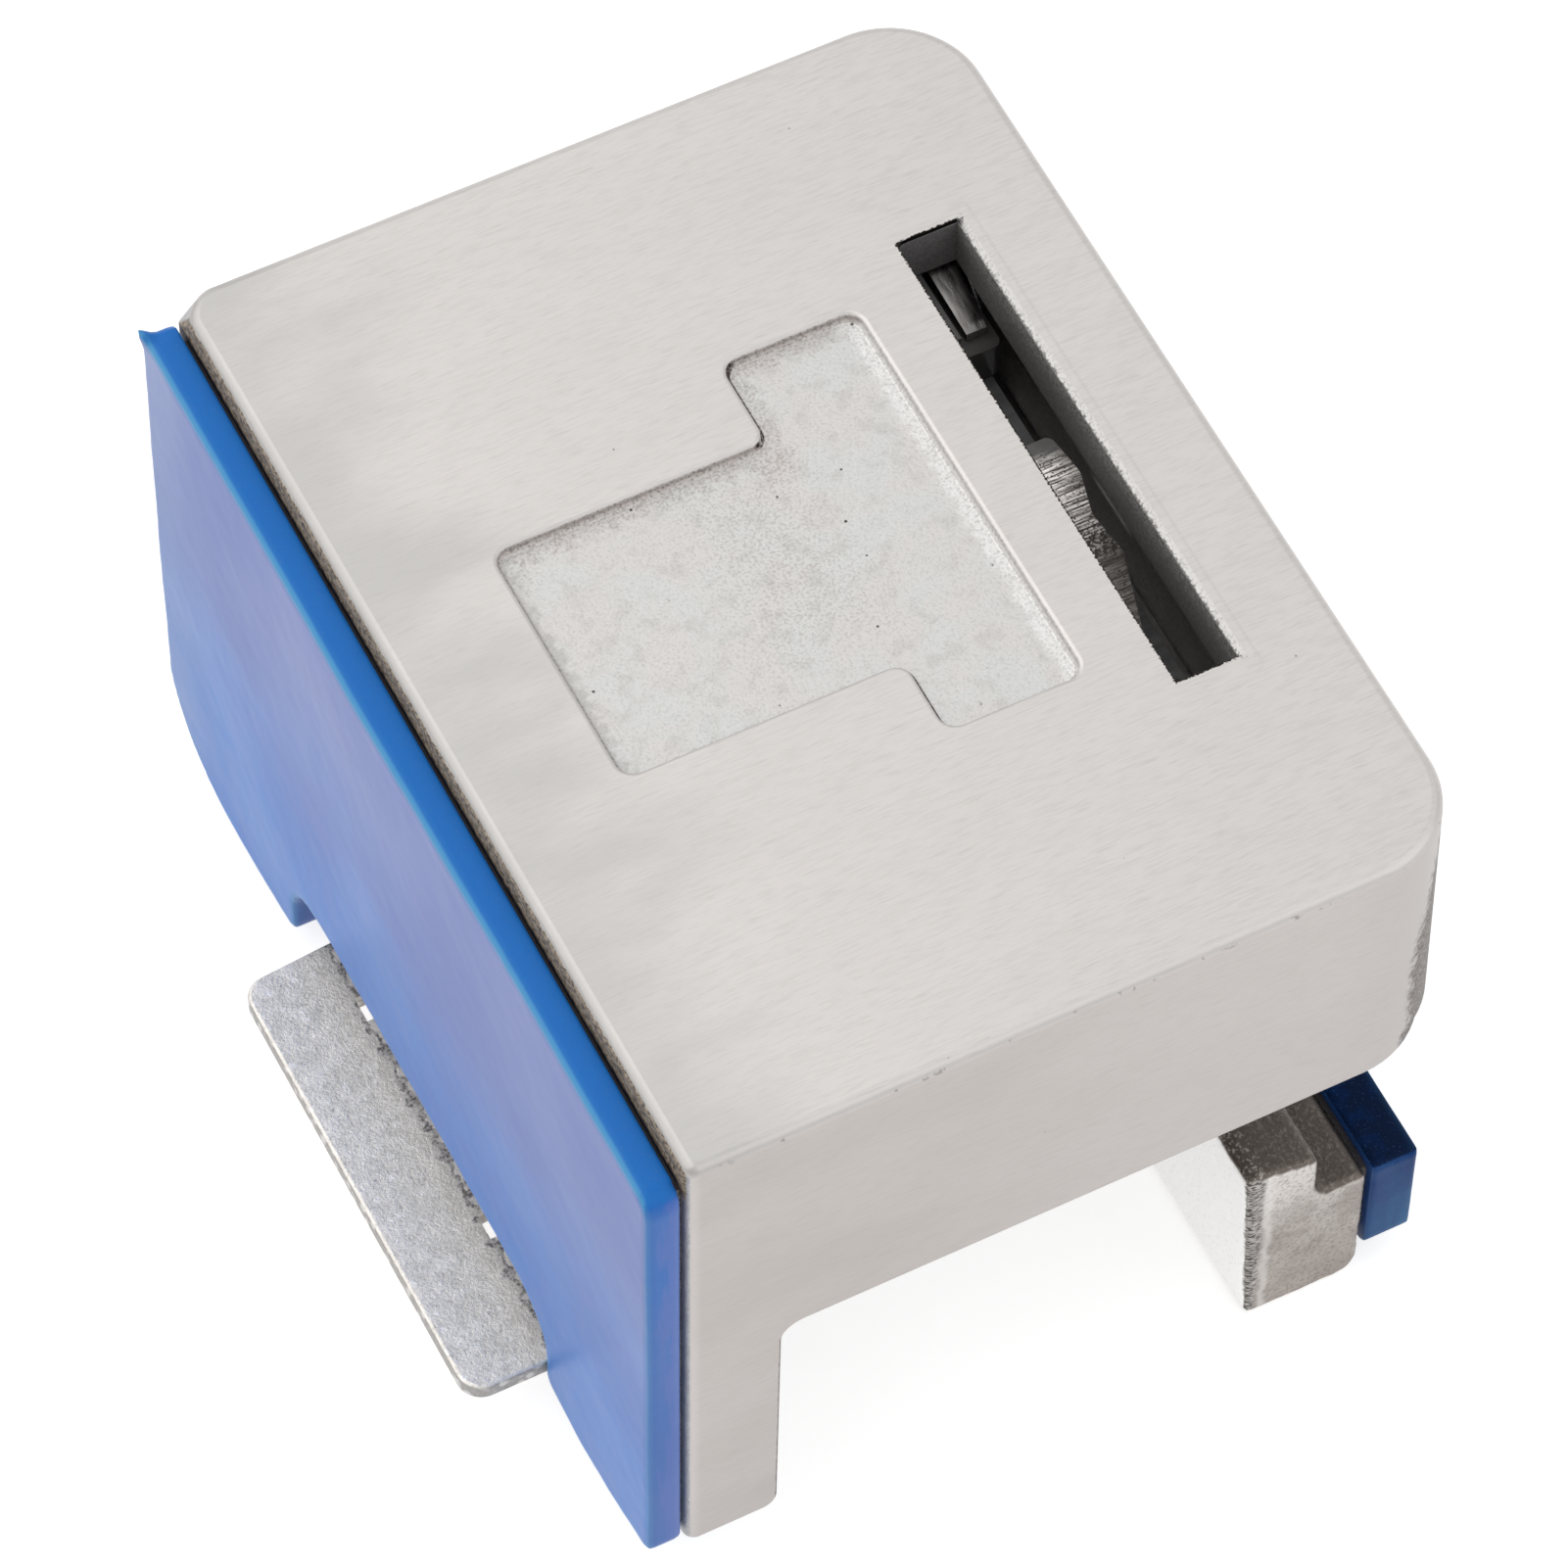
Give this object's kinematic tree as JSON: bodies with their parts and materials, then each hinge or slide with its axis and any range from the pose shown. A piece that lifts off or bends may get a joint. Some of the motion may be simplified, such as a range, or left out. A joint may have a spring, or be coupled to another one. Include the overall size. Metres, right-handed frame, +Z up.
{
  "type": "sliding window lock",
  "caption": "Clamp lock for a sliding window's track: a cast housing with a leg and hooked lip, and a cam-driven padded jaw that presses sideways on the track wall.",
  "frame": {"origin": "middle of the footprint, on the level of the jaw's foot, which is the lowest point", "axes": "+Z up, out of the polished top; +Y along the window's track; +X across the track, the way the jaw moves out"},
  "size_m": [0.0432, 0.05, 0.0336],
  "materials": {
    "cast_metal": "polished casting",
    "jaw_metal": "as cast, granular",
    "carriage_metal": "milled",
    "milled_steel": "milled, striated",
    "plate_steel": "rolled sheet",
    "ground_steel": "ground",
    "spring_steel": "drawn wire and strip",
    "screw_steel": "zinc plated",
    "pad_blue": "matt blue elastomer",
    "film": "double-sided adhesive film"
  },
  "bodies": {
    "lock_body": {"housing": "cast_metal", "fixed_pad": "pad_blue", "fixed_pad_film": "film", "base_plate": "plate_steel", "base_plate_screws": "screw_steel", "guide_pin_near": "ground_steel", "guide_pin_far": "ground_steel", "return_spring_near": "spring_steel", "return_spring_far": "spring_steel", "drag_spring": "spring_steel", "drag_spring_rivets": "screw_steel"},
    "bar": {"cam_bar": "milled_steel"},
    "jaw_unit": {"carriage": "carriage_metal", "follower_axle": "ground_steel", "jaw": "jaw_metal", "jaw_screws": "screw_steel", "moving_pad": "pad_blue", "moving_pad_film": "film"},
    "roller": {"follower_roller": "ground_steel"}
  },
  "joints": [
    {"name": "bar_slide", "type": "slide", "parent": "lock_body", "child": "bar", "axis": [0, -1, 0], "range_m": [0, 0.008]},
    {"name": "jaw_slide", "type": "slide", "parent": "lock_body", "child": "jaw_unit", "axis": [1, 0, 0], "range_m": [0, 0.0024], "stiffness_N_per_m": 3200, "springref_m": -0.0015, "deforming": ["return_spring_near", "return_spring_far"]},
    {"name": "roller_spin", "type": "hinge", "parent": "jaw_unit", "child": "roller", "pos_m": [0.0149, -0.01205, 0.02835], "axis": [0, 0, 1], "range_deg": [0, 320]}
  ],
  "couplings": [
    {"joint": "jaw_slide", "follows": "bar_slide", "ratio": 0.3},
    {"joint": "roller_spin", "follows": "bar_slide", "rad_per_m": 696}
  ]
}
